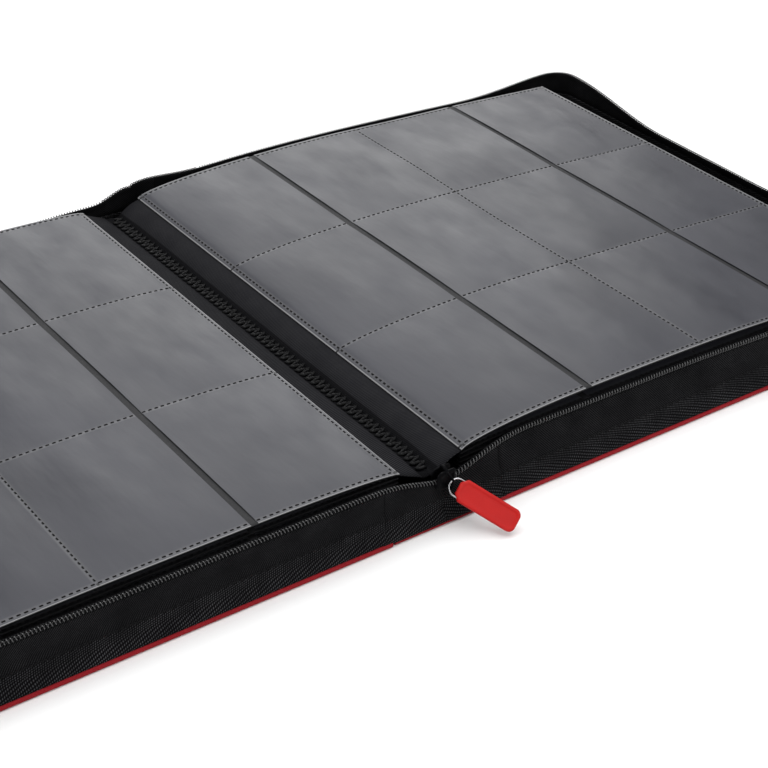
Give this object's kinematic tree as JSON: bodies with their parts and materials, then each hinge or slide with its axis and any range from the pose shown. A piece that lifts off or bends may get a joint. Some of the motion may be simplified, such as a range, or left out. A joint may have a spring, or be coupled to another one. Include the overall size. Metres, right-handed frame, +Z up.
{
  "type": "trading card binder",
  "caption": "Zip-around binder of sewn card-pocket leaves, lying open on two stiff covers with a walled, zipped edge.",
  "frame": {"origin": "centre of the spine's underside, where the open binder lies on a table", "axes": "+X from the spine across the back cover to its fore-edge, +Y along the spine away from the slider, +Z up out of the open pages"},
  "size_m": [0.651, 0.335, 0.031],
  "materials": {
    "cover_skin": "pebble-grained synthetic leather, satin",
    "board": "grey board, matt",
    "lining": "plain-woven polyester lining, matt",
    "gusset_cloth": "ribbed woven nylon, soft sheen",
    "zip_tape": "twill-woven zip tape",
    "zip_coil": "nylon coil, glossy turns",
    "page_margin": "twill-woven nylon edging",
    "thread": "twisted bonded thread",
    "page_backing": "black sheet with a fine grain",
    "pocket_film": "soft clear film over black, satin with shallow wrinkles",
    "pocket_page": "film-covered page, satin",
    "slider_metal": "black enamel on cast zinc, rubbed bright on its edges",
    "pull_wire": "bright steel wire",
    "pull_rubber": "moulded soft rubber, satin"
  },
  "bodies": {
    "spine": {"spine_skin": "cover_skin", "spine_board": "board", "spine_lining": "lining", "binding_strip": "page_margin", "binding_stitch": "thread", "front_page_margin": "page_margin", "back_page_margin": "page_margin", "near_gusset_end": "gusset_cloth", "far_gusset_end": "gusset_cloth", "near_zip_end": "zip_coil", "far_zip_end": "zip_coil"},
    "front_cover": {"front_cover_skin": "cover_skin", "front_cover_board": "board", "front_cover_lining": "lining", "front_gusset": "gusset_cloth", "front_zip_tape": "zip_tape", "front_zip_coil": "zip_coil"},
    "front_leaf_10": {"front_leaf_10": "pocket_page"},
    "front_leaf_9": {"front_leaf_9": "pocket_page"},
    "front_leaf_8": {"front_leaf_8": "pocket_page"},
    "front_leaf_7": {"front_leaf_7": "pocket_page"},
    "front_leaf_6": {"front_leaf_6": "pocket_page"},
    "front_leaf_5": {"front_leaf_5": "pocket_page"},
    "front_leaf_4": {"front_leaf_4": "pocket_page"},
    "front_leaf_3": {"front_leaf_3": "pocket_page"},
    "front_leaf_2": {"front_leaf_2": "pocket_page"},
    "front_leaf_1": {"front_leaf_1_backing": "page_backing", "front_leaf_1_upper_film_inner": "pocket_film", "front_leaf_1_upper_film_middle": "pocket_film", "front_leaf_1_upper_film_outer": "pocket_film", "front_leaf_1_lower_film_inner": "pocket_film", "front_leaf_1_lower_film_middle": "pocket_film", "front_leaf_1_lower_film_outer": "pocket_film"},
    "back_cover": {"back_cover_skin": "cover_skin", "back_cover_board": "board", "back_cover_lining": "lining", "back_gusset": "gusset_cloth", "back_zip_tape": "zip_tape", "back_zip_coil": "zip_coil"},
    "back_leaf_10": {"back_leaf_10": "pocket_page"},
    "back_leaf_9": {"back_leaf_9": "pocket_page"},
    "back_leaf_8": {"back_leaf_8": "pocket_page"},
    "back_leaf_7": {"back_leaf_7": "pocket_page"},
    "back_leaf_6": {"back_leaf_6": "pocket_page"},
    "back_leaf_5": {"back_leaf_5": "pocket_page"},
    "back_leaf_4": {"back_leaf_4": "pocket_page"},
    "back_leaf_3": {"back_leaf_3": "pocket_page"},
    "back_leaf_2": {"back_leaf_2": "pocket_page"},
    "back_leaf_1": {"back_leaf_1_backing": "page_backing", "back_leaf_1_upper_film_inner": "pocket_film", "back_leaf_1_upper_film_middle": "pocket_film", "back_leaf_1_upper_film_outer": "pocket_film", "back_leaf_1_lower_film_inner": "pocket_film", "back_leaf_1_lower_film_middle": "pocket_film", "back_leaf_1_lower_film_outer": "pocket_film"},
    "slider": {"slider_body": "slider_metal", "slider_bail": "slider_metal"},
    "pull": {"pull_link": "pull_wire", "pull_tab": "pull_rubber"}
  },
  "joints": [
    {"name": "front_cover_hinge", "type": "hinge", "parent": "spine", "child": "front_cover", "pos_m": [-0.028, 0, 0.0015], "axis": [0, -1, 0], "range_deg": [-90, 0], "deforming": ["near_gusset_end", "far_gusset_end", "near_zip_end", "far_zip_end"]},
    {"name": "front_pages_fold", "type": "hinge", "parent": "spine", "child": "front_leaf_10", "pos_m": [-0.01835, 0, 0.01035], "axis": [0, -1, 0], "range_deg": [-90, 0]},
    {"name": "front_leaf_9_turn", "type": "hinge", "parent": "front_leaf_10", "child": "front_leaf_9", "pos_m": [0, 0, 0.0318], "axis": [0, 1, 0], "range_deg": [0, 180]},
    {"name": "front_leaf_8_turn", "type": "hinge", "parent": "front_leaf_9", "child": "front_leaf_8", "pos_m": [0, 0, 0.0318], "axis": [0, 1, 0], "range_deg": [0, 180]},
    {"name": "front_leaf_7_turn", "type": "hinge", "parent": "front_leaf_8", "child": "front_leaf_7", "pos_m": [0, 0, 0.0318], "axis": [0, 1, 0], "range_deg": [0, 180]},
    {"name": "front_leaf_6_turn", "type": "hinge", "parent": "front_leaf_7", "child": "front_leaf_6", "pos_m": [0, 0, 0.0318], "axis": [0, 1, 0], "range_deg": [0, 180]},
    {"name": "front_leaf_5_turn", "type": "hinge", "parent": "front_leaf_6", "child": "front_leaf_5", "pos_m": [0, 0, 0.0318], "axis": [0, 1, 0], "range_deg": [0, 180]},
    {"name": "front_leaf_4_turn", "type": "hinge", "parent": "front_leaf_5", "child": "front_leaf_4", "pos_m": [0, 0, 0.0318], "axis": [0, 1, 0], "range_deg": [0, 180]},
    {"name": "front_leaf_3_turn", "type": "hinge", "parent": "front_leaf_4", "child": "front_leaf_3", "pos_m": [0, 0, 0.0318], "axis": [0, 1, 0], "range_deg": [0, 180]},
    {"name": "front_leaf_2_turn", "type": "hinge", "parent": "front_leaf_3", "child": "front_leaf_2", "pos_m": [0, 0, 0.0318], "axis": [0, 1, 0], "range_deg": [0, 180]},
    {"name": "front_leaf_1_turn", "type": "hinge", "parent": "front_leaf_2", "child": "front_leaf_1", "pos_m": [0, 0, 0.0318], "axis": [0, 1, 0], "range_deg": [0, 180], "deforming": ["front_page_margin", "binding_stitch"]},
    {"name": "back_cover_hinge", "type": "hinge", "parent": "spine", "child": "back_cover", "pos_m": [0.028, 0, 0.0015], "axis": [0, 1, 0], "range_deg": [-90, 0]},
    {"name": "back_pages_fold", "type": "hinge", "parent": "spine", "child": "back_leaf_10", "pos_m": [0.01835, 0, 0.01035], "axis": [0, 1, 0], "range_deg": [-90, 0]},
    {"name": "back_leaf_9_turn", "type": "hinge", "parent": "back_leaf_10", "child": "back_leaf_9", "pos_m": [0, 0, 0.0318], "axis": [0, -1, 0], "range_deg": [0, 180]},
    {"name": "back_leaf_8_turn", "type": "hinge", "parent": "back_leaf_9", "child": "back_leaf_8", "pos_m": [0, 0, 0.0318], "axis": [0, -1, 0], "range_deg": [0, 180]},
    {"name": "back_leaf_7_turn", "type": "hinge", "parent": "back_leaf_8", "child": "back_leaf_7", "pos_m": [0, 0, 0.0318], "axis": [0, -1, 0], "range_deg": [0, 180]},
    {"name": "back_leaf_6_turn", "type": "hinge", "parent": "back_leaf_7", "child": "back_leaf_6", "pos_m": [0, 0, 0.0318], "axis": [0, -1, 0], "range_deg": [0, 180]},
    {"name": "back_leaf_5_turn", "type": "hinge", "parent": "back_leaf_6", "child": "back_leaf_5", "pos_m": [0, 0, 0.0318], "axis": [0, -1, 0], "range_deg": [0, 180]},
    {"name": "back_leaf_4_turn", "type": "hinge", "parent": "back_leaf_5", "child": "back_leaf_4", "pos_m": [0, 0, 0.0318], "axis": [0, -1, 0], "range_deg": [0, 180]},
    {"name": "back_leaf_3_turn", "type": "hinge", "parent": "back_leaf_4", "child": "back_leaf_3", "pos_m": [0, 0, 0.0318], "axis": [0, -1, 0], "range_deg": [0, 180]},
    {"name": "back_leaf_2_turn", "type": "hinge", "parent": "back_leaf_3", "child": "back_leaf_2", "pos_m": [0, 0, 0.0318], "axis": [0, -1, 0], "range_deg": [0, 180]},
    {"name": "back_leaf_1_turn", "type": "hinge", "parent": "back_leaf_2", "child": "back_leaf_1", "pos_m": [0, 0, 0.0318], "axis": [0, -1, 0], "range_deg": [0, 180], "deforming": ["back_page_margin"]},
    {"name": "zip_slide", "type": "slide", "parent": "spine", "child": "slider", "axis": [1, 0, 0], "range_m": [0, 0.25]},
    {"name": "pull_swing", "type": "hinge", "parent": "slider", "child": "pull", "pos_m": [0, -0.1567, 0.0228], "axis": [-0.7371, -0.2367, -0.633], "range_deg": [0, 75]}
  ],
  "couplings": [
    {"joint": "front_pages_fold", "follows": "front_cover_hinge", "ratio": 1},
    {"joint": "back_pages_fold", "follows": "back_cover_hinge", "ratio": 1}
  ]
}
